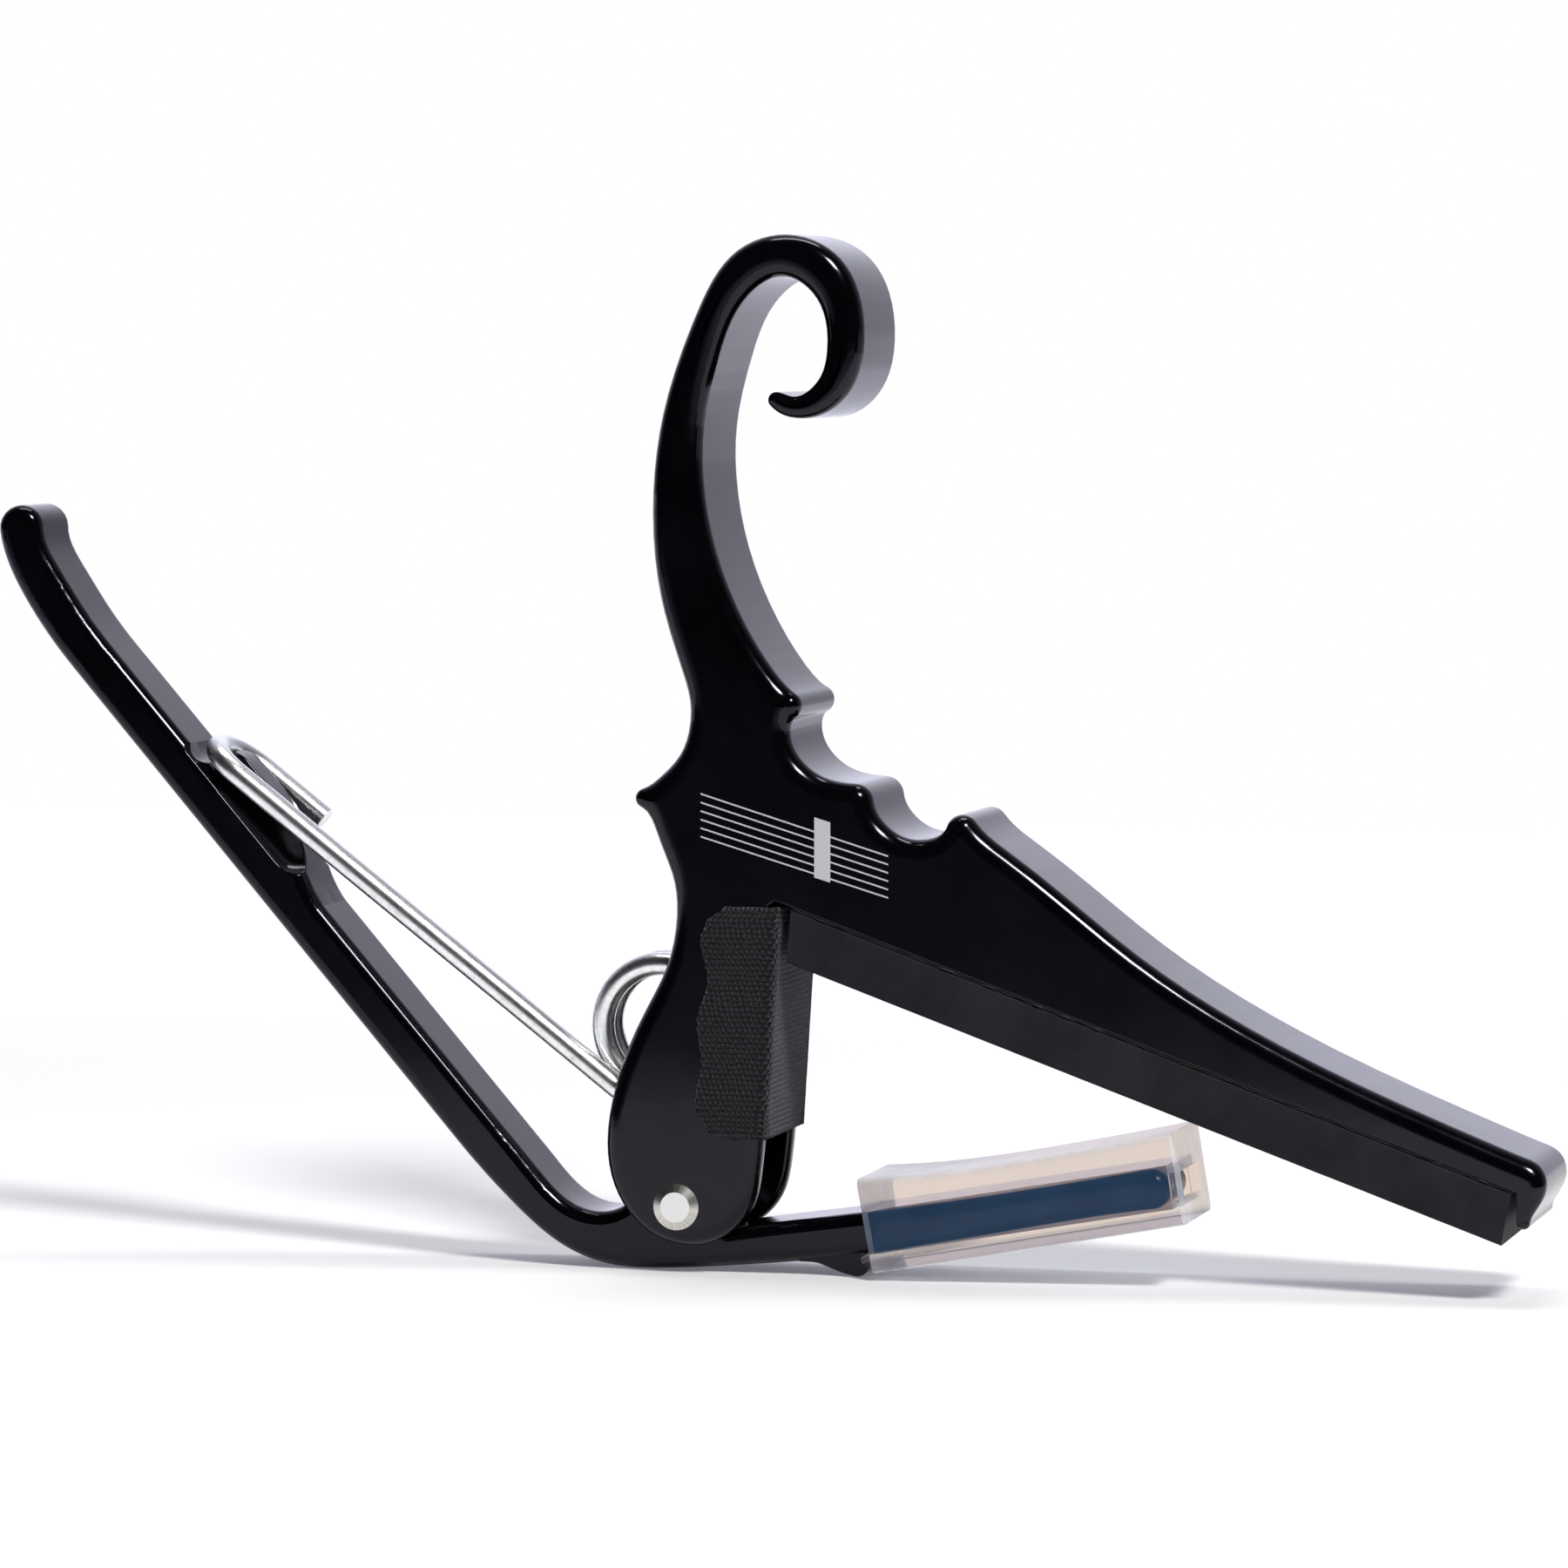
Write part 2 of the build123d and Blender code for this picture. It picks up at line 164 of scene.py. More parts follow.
def scaled(tree, coordinates, x, y, z):
    made = tree.nodes.new("ShaderNodeMapping")
    put(tree, made.inputs["Vector"], coordinates)
    made.inputs["Scale"].default_value = (x, y, z)
    return made.outputs["Vector"]


def noise_value(tree, coordinates, scale, detail=2.0, roughness=0.5):
    made = add(tree, "ShaderNodeTexNoise", Vector=coordinates, Scale=scale, Detail=detail,
               Roughness=roughness)
    return made.outputs["Fac"]


def bump(tree, height, strength, distance_mm, normal=None):
    made = add(tree, "ShaderNodeBump", Height=height, Strength=strength, Distance=distance_mm * MM)
    if normal is not None:
        tree.links.new(normal, made.inputs["Normal"])
    return made.outputs["Normal"]


def material(name, **settings):
    """Principled material. Returns it with its tree, its shader and object coordinates."""
    made = bpy.data.materials.new(name)
    made.use_nodes = True
    tree = made.node_tree
    shader = tree.nodes["Principled BSDF"]
    for key, value in settings.items():
        shader.inputs[key.replace("_", " ")].default_value = value
    place = tree.nodes.new("ShaderNodeTexCoord").outputs["Object"]
    return made, tree, shader, place


def connect(tree, shader, **values):
    """Links values to the shader inputs of the same names."""
    for key, value in values.items():
        put(tree, shader.inputs[key.replace("_", " ")], value)


# ---------------------------------------------------------------- materials
PIN_FLAT = 1.1 * MM
RIB_PITCH, THREAD_PITCH = 0.38, 0.42


def black_coat(name, shine):
    """Glossy black powder coat on cast aluminium, with a faint orange peel and a bluish haze."""
    made, tree, shader, place = material(
        name, IOR=1.5, Specular_IOR_Level=shine, Specular_Tint=(0.86, 0.85, 1.0, 1))
    waves = noise_value(tree, place, scale=160.0, detail=1.0)
    peel = noise_value(tree, place, scale=1500.0, detail=2.0)
    haze = noise_value(tree, place, scale=260.0, detail=4.0)
    wavy = bump(tree, waves, strength=0.06, distance_mm=0.06)
    connect(
        tree, shader,
        Base_Color=ramp(tree, haze, (0.3, (0.0008, 0.0009, 0.0013)), (0.75, (0.0014, 0.0015, 0.0024))),
        Roughness=ramp(tree, haze, (0.3, 0.10), (0.8, 0.17)),
        Normal=bump(tree, peel, strength=0.1, distance_mm=0.01, normal=wavy))
    return made


def wire_metal():
    """Zinc-plated drawn wire: streaks along it, small dull blotches, a faint yellow stain."""
    made, tree, shader, _ = material("spring_wire", Metallic=1.0)
    uv = add(tree, "ShaderNodeUVMap", uv_map="wire").outputs["UV"]
    streak = noise_value(tree, scaled(tree, uv, 0.5, 12.0, 1.0), scale=1.0, detail=4.0, roughness=0.6)
    blotch = noise_value(tree, scaled(tree, uv, 2.2, 3.0, 1.0), scale=1.0, detail=4.0, roughness=0.6)
    mixed = plus(tree, times(tree, streak, 0.6), times(tree, blotch, 0.4))
    dull, usual, bright = (0.52, 0.54, 0.52), (0.80, 0.81, 0.79), (0.93, 0.94, 0.95)
    connect(
        tree, shader,
        Base_Color=ramp(tree, mixed, (0.30, dull), (0.44, usual), (0.60, bright)),
        Roughness=ramp(tree, mixed, (0.3, 0.36), (0.6, 0.26)),
        Normal=bump(tree, mixed, strength=0.03, distance_mm=0.02))
    return made


def pin_metal():
    """Turned steel: radial tool marks on the bevelled rim, a dull flat centre with faint scratches."""
    made, tree, shader, place = material("pin_steel", Metallic=1.0, Roughness=0.28)
    moved = add(tree, "ShaderNodeVectorMath", operation="SUBTRACT")
    put(tree, moved.inputs[0], place)
    moved.inputs[1].default_value = PIVOT
    spot = axes(tree, moved.outputs[0])
    turn = math_node(tree, "ARCTAN2", spot["Z"], spot["X"])
    ray = tree.nodes.new("ShaderNodeCombineXYZ")
    put(tree, ray.inputs["X"], times(tree, turn, 14.0))
    streaks = noise_value(tree, ray.outputs[0], scale=1.0, detail=3.0, roughness=0.7)
    scratch = noise_value(tree, scaled(tree, place, 2600.0, 1.0, 1900.0), scale=1.0, detail=4.0)
    squares = [math_node(tree, "POWER", spot[side], 2.0) for side in ("X", "Z")]
    reach = math_node(tree, "SQRT", plus(tree, *squares))
    rim = math_node(tree, "GREATER_THAN", reach, PIN_FLAT)
    mix = add(tree, "ShaderNodeMix", data_type="FLOAT")
    put(tree, mix.inputs[0], rim)
    put(tree, mix.inputs[2], plus(tree, times(tree, scratch, 0.5), 0.3))
    put(tree, mix.inputs[3], streaks)
    marks = mix.outputs[0]
    tone = minus(tree, marks, times(tree, rim, 0.22))
    connect(
        tree, shader,
        Base_Color=ramp(tree, tone, (0.2, (0.5, 0.47, 0.42)), (0.5, (0.95, 0.94, 0.93))),
        Normal=bump(tree, marks, strength=0.25, distance_mm=0.03))
    return made


def pad_rubber():
    """Matt black rubber, finely grained, with open pores where the far end is worn."""
    made, tree, shader, place = material("pad_rubber", Roughness=0.72, Specular_IOR_Level=0.24)
    grain = noise_value(tree, place, scale=2600.0, detail=3.0)
    pores = add(tree, "ShaderNodeTexVoronoi", Vector=place, Scale=2400.0).outputs["Distance"]
    worn = ramp(tree, times(tree, axes(tree, place)["X"], 10.0), (0.40, 0.0), (0.52, 1.0))
    pits = times(tree, ramp(tree, pores, (0.12, 0.0), (0.32, 1.0)), worn)
    height = minus(tree, times(tree, grain, 0.5), times(tree, pits, 0.4))
    tone = noise_value(tree, place, scale=300.0, detail=5.0)
    connect(
        tree, shader,
        Base_Color=ramp(tree, tone, (0.35, (0.006, 0.0065, 0.0088)), (0.7, (0.013, 0.0135, 0.0175))),
        Normal=bump(tree, height, strength=0.5, distance_mm=0.05))
    return made


def glue_film():
    """Dried black glue with a lumpy skin."""
    made, tree, shader, place = material("pad_glue", Roughness=0.45, Base_Color=(0.006, 0.006, 0.007, 1))
    lumps = noise_value(tree, place, scale=900.0, detail=4.0)
    connect(tree, shader, Normal=bump(tree, lumps, strength=0.8, distance_mm=0.1))
    return made


def milky_vinyl():
    """Translucent vinyl: peach under a faint blue veil, its own tint, in the side walls that face front and
    back; top, bottom and ends get a stronger pale blue veil, painted sheen of light scattered at a slant.
    """
    made, tree, shader, place = material(
        "milky_vinyl", Roughness=0.14, IOR=1.05, Transmission_Weight=1.0, Base_Color=(0.97, 0.81, 0.66, 1))
    cloud = noise_value(tree, place, scale=420.0, detail=4.0)
    scuff = noise_value(tree, scaled(tree, place, 300.0, 300.0, 1700.0), scale=1.0, detail=3.0)
    scuffed = bump(tree, scuff, strength=0.15, distance_mm=0.01)
    connect(tree, shader, Normal=bump(tree, cloud, strength=0.2, distance_mm=0.05, normal=scuffed))
    # faces that don't look front or back get the paler, stronger veil: painted sheen of slanting light, not a
    # colour of the vinyl
    facing = tree.nodes.new("ShaderNodeTexCoord").outputs["Normal"]
    sideways = math_node(tree, "ABSOLUTE", axes(tree, facing)["Y"])
    thick = ramp(tree, sideways, (0.55, 1.0), (0.97, 0.0))
    veil_and_sheen = tree.nodes.new("ShaderNodeBsdfPrincipled")
    veil_and_sheen.inputs["Roughness"].default_value = 0.3
    mix = add(tree, "ShaderNodeMix", data_type="RGBA")
    put(tree, mix.inputs[0], thick)
    put(tree, mix.inputs[6], ramp(tree, cloud, (0.3, (0.02, 0.12, 0.33)), (0.7, (0.05, 0.19, 0.44))))
    put(tree, mix.inputs[7], ramp(tree, cloud, (0.3, (0.50, 0.57, 0.68)), (0.7, (0.68, 0.75, 0.84))))
    connect(tree, veil_and_sheen, Base_Color=mix.outputs[2])
    blend = tree.nodes.new("ShaderNodeMixShader")
    # the veil weighs 0.16 on the front and back faces, the vinyl's own tint, and up to 0.48 on the other
    # faces, painted sheen
    put(tree, blend.inputs[0], ramp(tree, thick, (0.0, 0.16), (1.0, 0.48)))
    tree.links.new(shader.outputs[0], blend.inputs[1])
    tree.links.new(veil_and_sheen.outputs[0], blend.inputs[2])
    tree.links.new(blend.outputs[0], tree.nodes["Material Output"].inputs["Surface"])
    return made


def black_weave():
    """Woven tape: ribs across it, threads passing over and under, lint, and painted light on its spine."""
    made, tree, shader, _ = material(
        "black_weave", Roughness=0.85, Specular_IOR_Level=0.15, Sheen_Weight=0.2, Sheen_Roughness=0.4)
    uv = add(tree, "ShaderNodeUVMap", uv_map="cloth").outputs["UV"]
    wobble = add(tree, "ShaderNodeTexNoise", Vector=uv, Scale=1.6, Detail=3.0).outputs["Color"]
    bent = add(tree, "ShaderNodeVectorMath", operation="MULTIPLY_ADD")
    put(tree, bent.inputs[0], wobble)
    bent.inputs[1].default_value = (0.30, 0.26, 0.0)
    put(tree, bent.inputs[2], uv)
    spot = axes(tree, bent.outputs[0])
    rib, thread = 2 * math.pi / RIB_PITCH, 2 * math.pi / THREAD_PITCH
    across = math_node(tree, "SINE", times(tree, spot["Y"], rib))
    row = math_node(tree, "SINE", times(tree, spot["Y"], rib / 2))
    shift = times(tree, math_node(tree, "SIGN", row), math.pi / 2)
    over = math_node(tree, "SINE", plus(tree, times(tree, spot["X"], thread), shift))
    weave = plus(tree, times(tree, across, 0.6), times(tree, over, 0.45))
    fuzz = noise_value(tree, uv, scale=9.0, detail=4.0, roughness=0.7)
    height = plus(tree, weave, times(tree, fuzz, 0.9))
    shade = plus(tree, times(tree, weave, 0.34), fuzz)
    # within about 5 mm of the spine's middle the colour is made paler: painted light on that side of the tape,
    # not wear
    from_spine = math_node(tree, "ABSOLUTE", minus(tree, axes(tree, uv)["X"], CLOTH_WIDTH / 2))
    painted_spine_light = ramp(tree, times(tree, from_spine, 0.1), (0.50, 0.80), (0.56, 0.0))
    deep, usual, lint = (0.001, 0.001, 0.0015), (0.0045, 0.005, 0.007), (0.055, 0.059, 0.074)
    connect(
        tree, shader,
        Base_Color=ramp(tree, plus(tree, shade, painted_spine_light), (0.15, deep), (0.6, usual), (0.98, lint)),
        Normal=bump(tree, height, strength=1.0, distance_mm=0.16))
    return made


def silver_ink():
    """Matt silver printing ink with a fine grain."""
    made, tree, shader, place = material("silver_ink", Roughness=0.4, Base_Color=(0.55, 0.55, 0.56, 1))
    grain = noise_value(tree, place, scale=1500.0, detail=3.0)
    connect(tree, shader, Normal=bump(tree, grain, strength=0.2, distance_mm=0.02))
    return made


BODY_COAT = black_coat("black_coat", shine=0.34)
LEVER_COAT = black_coat("black_coat_lever", shine=0.3)
WIRE = wire_metal()
PIN = pin_metal()
RUBBER = pad_rubber()
GLUE = glue_film()
VINYL = milky_vinyl()
WEAVE = black_weave()
INK = silver_ink()


# ---------------------------------------------------------------- mesh helpers
WIRE_SIDES = 28


def new_piece(name, bm, made_material, body):
    """Makes a smooth-shaded object of the mesh, attached to the body if one is given; with none, it is left
    unattached here.
    """
    bm.normal_update()
    mesh = bpy.data.meshes.new(name)
    bm.to_mesh(mesh)
    bm.free()
    for face in mesh.polygons:
        face.use_smooth = True
    mesh.materials.append(made_material)
    piece = bpy.data.objects.new(name, mesh)
    bpy.context.scene.collection.objects.link(piece)
    if body:
        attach(piece, body)
    return piece


def set_material(node, made_material):
    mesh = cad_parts[node].data
    mesh.materials.clear()
    mesh.materials.append(made_material)


def keep_modified(piece):
    """Applies a piece's modifiers to its mesh."""
    graph = bpy.context.evaluated_depsgraph_get()
    mesh = bpy.data.meshes.new_from_object(piece.evaluated_get(graph))
    piece.modifiers.clear()
    piece.data = mesh


def sharpen(piece, degrees):
    """Makes the edges sharp that turn by more than an angle, and shades the rest smooth."""
    bm = bmesh.new()
    bm.from_mesh(piece.data)
    for edge in bm.edges:
        edge.smooth = len(edge.link_faces) != 2 or edge.calc_face_angle(0.0) < math.radians(degrees)
    for face in bm.faces:
        face.smooth = True
    bm.to_mesh(piece.data)
    bm.free()


def tube(name, points, radius, body, tip_bevel=0.0):
    """Round wire along the points, with its length in millimetres and its turn in the UV map."""
    bm = bmesh.new()
    layer = bm.loops.layers.uv.new("wire")
    side = Vector((0, 1, 0)).cross(points[1] - points[0]).normalized()
    rings, lengths, run = [], [], 0.0
    for i, point in enumerate(points):
        ahead = points[min(i + 1, len(points) - 1)] - points[max(i - 1, 0)]
        ahead.normalize()
        side = (side - ahead * side.dot(ahead)).normalized()
        other = ahead.cross(side)
        if i:
            run += (point - points[i - 1]).length / MM
        rings.append([bm.verts.new(point + (side * math.cos(a) + other * math.sin(a)) * radius)
                      for a in (2 * math.pi * k / WIRE_SIDES for k in range(WIRE_SIDES))])
        lengths.append(run)
    for i in range(len(rings) - 1):
        for k in range(WIRE_SIDES):
            n = (k + 1) % WIRE_SIDES
            face = bm.faces.new((rings[i][k], rings[i][n], rings[i + 1][n], rings[i + 1][k]))
            spans = ((lengths[i], k), (lengths[i], k + 1), (lengths[i + 1], k + 1), (lengths[i + 1], k))
            for loop, (length, turn) in zip(face.loops, spans):
                loop[layer].uv = (length, turn / WIRE_SIDES)
    for ring, tip, inner in ((rings[0], points[0], points[1]), (rings[-1], points[-1], points[-2])):
        out = (tip - inner).normalized() * tip_bevel
        rim = [bm.verts.new(tip + (v.co - tip) * (1 - 1.2 * tip_bevel / radius) + out) for v in ring]
        for k in range(WIRE_SIDES):
            n = (k + 1) % WIRE_SIDES
            bm.faces.new((ring[k], ring[n], rim[n], rim[k]))
        bm.faces.new(rim)
    bmesh.ops.recalc_face_normals(bm, faces=bm.faces)
    piece = new_piece(name, bm, WIRE, body)
    sharpen(piece, degrees=40)
    return piece


# ---------------------------------------------------------------- body casting
BODY_HALF, BODY_ROUND, CAD_ROUND = FACE_HALF * MM, 1.2 * MM, 0.4 * MM
EDGE_STEPS, FACE_MARGIN = 8, 0.2 * MM
OUTLINE_STEP = 0.35 * MM
ROOM_STEPS, ROOM_SPARE, LEAST_ROOM, ROOM_PASSES = 12, 0.04 * MM, 0.12 * MM, 3
ON_PLANE = 2e-6
SAME_POINT = 1e-6
SLOT_HALF = 3.55 * MM
SLOT_LEFT, SLOT_RIGHT, SLOT_FLOOR, SLOT_ROOF = -9, 11, -6, 19.4
EAR_ROUND, EAR_STEPS, EAR_TURN, EAR_TOP_GAP = 0.45 * MM, 4, 0.9, 0.2 * MM

# where the edge stays sharp, in millimetres from the pivot: under the bar, and the wall at the pad's end
UNDER_START, UNDER_END, UNDER_REACH = 7.0, 61.7, 0.12
WALL_LEFT, WALL_RIGHT, WALL_LOW, WALL_TOP = 61.4, 61.6, 0.9, 3.2


def outline_at(node, y):
    """The closed outline of a CAD node's wall at y, as (x, z) points in order."""
    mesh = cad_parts[node].data
    spots, where = {}, {}
    for v in mesh.vertices:
        if abs(v.co.y - y) < ON_PLANE:
            key = (round(v.co.x, 6), round(v.co.z, 6))
            where[v.index] = key
            spots.setdefault(key, set())
    for edge in mesh.edges:
        a, b = (where.get(i) for i in edge.vertices)
        if a and b and a != b:
            spots[a].add(b)
            spots[b].add(a)
    start = max(spots, key=lambda key: key[0])
    loop, last = [start], None
    while True:
        here = loop[-1]
        onward = [k for k in spots[here] if k != last and (k not in loop or k == start)]
        if not onward:
            break
        step = min(onward, key=lambda k: math.dist(k, here))
        if step == start and len(loop) > 2:
            break
        last = here
        loop.append(step)
    return [Vector(p) for p in loop]


def spread(loop, gap):
    """Adds points so that no step is longer than gap."""
    out = []
    for a, b in zip(loop, loop[1:] + loop[:1]):
        steps = max(1, math.ceil((b - a).length / gap))
        out += [a.lerp(b, i / steps) for i in range(steps)]
    return out


def inward_normals(loop):
    """The direction into the outline at each of its points."""
    area = sum(a.x * b.y - b.x * a.y for a, b in zip(loop, loop[1:] + loop[:1]))
    sign = 1 if area > 0 else -1
    normals = []
    for i, point in enumerate(loop):
        a = (point - loop[i - 1]).normalized()
        b = (loop[(i + 1) % len(loop)] - point).normalized()
        n = Vector((-(a.y + b.y), a.x + b.x)) * sign
        normals.append(n.normalized() if n.length > 1e-9 else Vector((-a.y, a.x)) * sign)
    return normals


def rounding_room(loop, normals, most, is_sharp):
    """How far each point can move inwards before it is nearer to another part of the outline."""
    tree = kdtree.KDTree(len(loop))
    for i, p in enumerate(loop):
        tree.insert((p.x, p.y, 0), i)
    tree.balance()
    room = []
    for p, n in zip(loop, normals):
        far = 0.0
        while far < most and not is_sharp(p):
            step = far + most / ROOM_STEPS
            q = p + n * step
            if tree.find((q.x, q.y, 0))[2] < step - ROOM_SPARE:
                break
            far = step
        room.append(max(min(far, most), LEAST_ROOM))
    for _ in range(ROOM_PASSES):
        after = room[1:] + room[:1]
        before = room[-1:] + room[:-1]
        room = [min(here, (a + here + b) / 3) for a, here, b in zip(before, room, after)]
    return room


def rounded_plate(loop, half, radius, is_sharp):
    """Plate with the outline, and its long edges rounded by radius wherever the outline leaves room."""
    normals = inward_normals(loop)
    room = rounding_room(loop, normals, radius, is_sharp)
    bm = bmesh.new()
    rings = []
    profile = [1 - math.cos(math.pi / 2 * k / EDGE_STEPS) for k in range(EDGE_STEPS + 1)]
    for side in (-1, 1):
        for share in profile:
            ring = []
            for p, n, most in zip(loop, normals, room):
                rise = most * (1 - share)
                y = half - most + math.sqrt(max(most ** 2 - rise ** 2, 0.0))
                q = p + n * most * share
                ring.append(bm.verts.new((q.x, side * y, q.y)))
            rings.append(ring)
        # one more ring just inside the rounding keeps the face beyond it flat
        margin = []
        for p, n, most in zip(loop, normals, room):
            q = p + n * (most + min(FACE_MARGIN, 0.2 * most))
            margin.append(bm.verts.new((q.x, side * half, q.y)))
        rings.append(margin)
    per_side = len(profile) + 1
    pairs = [(k, k + 1) for start in (0, per_side) for k in range(start, start + per_side - 1)]
    pairs.append((0, per_side))
    count = len(loop)
    for a, b in pairs:
        for i in range(count):
            n = (i + 1) % count
            bm.faces.new((rings[a][i], rings[a][n], rings[b][n], rings[b][i]))
    for ring in (rings[per_side - 1], rings[-1]):
        edges = [bm.edges.get((ring[i], ring[(i + 1) % count])) for i in range(count)]
        bmesh.ops.triangle_fill(bm, edges=edges, use_beauty=True)
    bmesh.ops.remove_doubles(bm, verts=bm.verts, dist=SAME_POINT)
    bmesh.ops.recalc_face_normals(bm, faces=bm.faces)
    return bm


def stays_sharp(p):
    """True on the bar's straight underside and the wall beside the pad's end."""
    x, z = (p.x - PIVOT.x) / MM, (p.y - PIVOT.z) / MM
    line = BAR_FOOT_Z - BAR_FALL * (x - BAR_FOOT_X)
    under = UNDER_START < x < UNDER_END and abs(z - line) < UNDER_REACH
    return under or (WALL_LEFT < x < WALL_RIGHT and WALL_LOW < z < WALL_TOP)


body_loop = spread(outline_at("clamp_body", -(BODY_HALF - CAD_ROUND)), OUTLINE_STEP)
body_mesh = rounded_plate(body_loop, BODY_HALF, BODY_ROUND, stays_sharp)
casting = new_piece("clamp_casting", body_mesh, BODY_COAT, None)


def cutter(low, high):
    """Box between two corners, to cut with."""
    bm = bmesh.new()
    bmesh.ops.create_cube(bm, size=1.0)
    for v in bm.verts:
        v.co = Vector([low[i] if v.co[i] < 0 else high[i] for i in range(3)])
    mesh = bpy.data.meshes.new("cutter")
    bm.to_mesh(mesh)
    bm.free()
    made = bpy.data.objects.new("cutter", mesh)
    bpy.context.scene.collection.objects.link(made)
    return made


def cut(piece, tool):
    """Takes the tool's shape out of the piece, and removes the tool."""
    change = piece.modifiers.new("cut", "BOOLEAN")
    change.operation, change.solver, change.object = "DIFFERENCE", "EXACT", tool
    keep_modified(piece)
    bpy.data.objects.remove(tool)


half_slot = Vector((0, SLOT_HALF, 0))
slot_low, slot_high = at(SLOT_LEFT, 0, SLOT_FLOOR), at(SLOT_RIGHT, 0, SLOT_ROOF)
cut(casting, cutter(slot_low - half_slot, slot_high + half_slot))
bm = bmesh.new()
bm.from_mesh(casting.data)
ear_edges = []
for edge in bm.edges:
    a, b = (v.co for v in edge.verts)
    on_wall = abs(abs(a.y) - SLOT_HALF) < SAME_POINT and abs(a.y - b.y) < SAME_POINT
    below_roof = max(a.z, b.z) < slot_high.z - EAR_TOP_GAP
    if on_wall and below_roof and edge.calc_face_angle(0.0) > EAR_TURN:
        ear_edges.append(edge)
bmesh.ops.bevel(bm, geom=ear_edges, offset=EAR_ROUND, segments=EAR_STEPS, profile=0.5, affect="EDGES")
bm.to_mesh(casting.data)
bm.free()
sharpen(casting, degrees=38)
# the large flat faces keep their own normals, so that they reflect as flat
level_faces = casting.modifiers.new("flat_faces", "WEIGHTED_NORMAL")
level_faces.keep_sharp = True
level_faces.weight = 100
keep_modified(casting)
casting.data.materials.clear()
casting.data.materials.append(BODY_COAT)
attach(casting, "body")
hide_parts("clamp_body")

# ---------------------------------------------------------------- lever and pin keep their CAD shapes
set_material("squeeze_lever", LEVER_COAT)
set_material("pivot_pin", PIN)

# ---------------------------------------------------------------- torsion spring, in millimetres
WIRE_R, COIL_R, COIL_SIDE = 0.85, 4.75, 2.5
COIL_X, COIL_Z = -2.1, 12.6
COIL_START, COIL_END = 285.0, 1080.0
ARM_SLOPE = -0.775
HOOK_R, RETURN_LEG = 3.1, 5.9
HOOK_TIP = Vector((-36.85, 0.0, 32.7))
TIP_BEVEL = 0.06
COIL_STEPS, EASE_STEPS, ARM_STEPS, HOOK_STEPS, RETURN_STEPS = 160, 14, 30, 28, 4
LEG_HEIGHTS = (0.8, 2.0, 4.0, 6.0, 9.0)


def coil_point(angle):
    """Point on the coil's helix, which crosses the fork from front to back."""
    share = (angle - COIL_START) / (COIL_END - COIL_START)
    a = math.radians(angle)
    return Vector((COIL_X + COIL_R * math.cos(a), COIL_SIDE * (2 * share - 1), COIL_Z + COIL_R * math.sin(a)))


def hermite(p, q, dp, dq, steps):
    """Points along a smooth curve from p to q with its direction at both ends."""
    size = (q - p).length
    dp, dq = dp.normalized() * size, dq.normalized() * size
    points = []
    for i in range(steps + 1):
        t = i / steps
        points.append(p * (2 * t ** 3 - 3 * t ** 2 + 1) + dp * (t ** 3 - 2 * t ** 2 + t)
                      + q * (3 * t ** 2 - 2 * t ** 3) + dq * (t ** 3 - t ** 2))
    return points


def placed(points):
    return [at(*p) for p in points]


turns = [coil_point(COIL_START + (COIL_END - COIL_START) * i / COIL_STEPS) for i in range(COIL_STEPS + 1)]
leg = [turns[-1] + Vector((0, 0, height)) for height in LEG_HEIGHTS]
coil = tube("spring_turns", placed(turns + leg), WIRE_R * MM, None)
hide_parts("spring_coil")
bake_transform(coil)

outward = Vector((-1.0, 0.0, -ARM_SLOPE)).normalized()
hook_centre = HOOK_TIP - outward * HOOK_R
to_side = Vector((0.0, HOOK_R, 0.0))
coil_middle = Vector((COIL_X, 0.0, COIL_Z))
arm_root = hook_centre - outward * (hook_centre - coil_middle).dot(outward) - Vector((0.0, COIL_SIDE, 0.0))
root_angle = math.radians(COIL_START + 90)
root_direction = Vector((-math.cos(root_angle), 0.0, -math.sin(root_angle)))
arm = hermite(coil_point(COIL_START), arm_root, root_direction, outward, EASE_STEPS)
arm += hermite(arm_root, hook_centre - to_side, outward, outward, ARM_STEPS)[1:]
arm += [hook_centre + to_side * math.sin(a) + outward * HOOK_R * math.cos(a)
        for a in (math.radians(-90 + 180 * i / HOOK_STEPS) for i in range(1, HOOK_STEPS + 1))]
arm += [arm[-1] - outward * RETURN_LEG * k / RETURN_STEPS for k in range(1, RETURN_STEPS + 1)]
spring_arm = tube("spring_long_arm", placed(arm), WIRE_R * MM, "spring", tip_bevel=TIP_BEVEL * MM)
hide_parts("spring_arm")

# ---------------------------------------------------------------- string pad and its glue, in millimetres
PAD_START, PAD_END, PAD_T, GLUE_T, PAD_HALF = 0.3, 56.1, 3.95, 0.15, 5.45
PAD_SLANTS, GLUE_SLANTS = (1.0, 0.6), (0.1, 0.0)
PAD_CORNER, GLUE_CORNER, GLUE_INSET = 0.3, 0.06, 0.05
PAD_UNEVEN, GLUE_UNEVEN, UNEVEN_SCALE = 0.05, 0.25, 900.0
CORNER_STEPS, STRIP_STEPS = 4, 120
BAR_LEN = math.hypot(1, BAR_FALL)


def below_bar(along, depth, y):
    """Point measured along the bar's underside and square down from it."""
    x = BAR_FOOT_X + (along - BAR_FALL * depth) / BAR_LEN
    z = BAR_FOOT_Z + (-BAR_FALL * along - depth) / BAR_LEN
    return at(x, y, z)


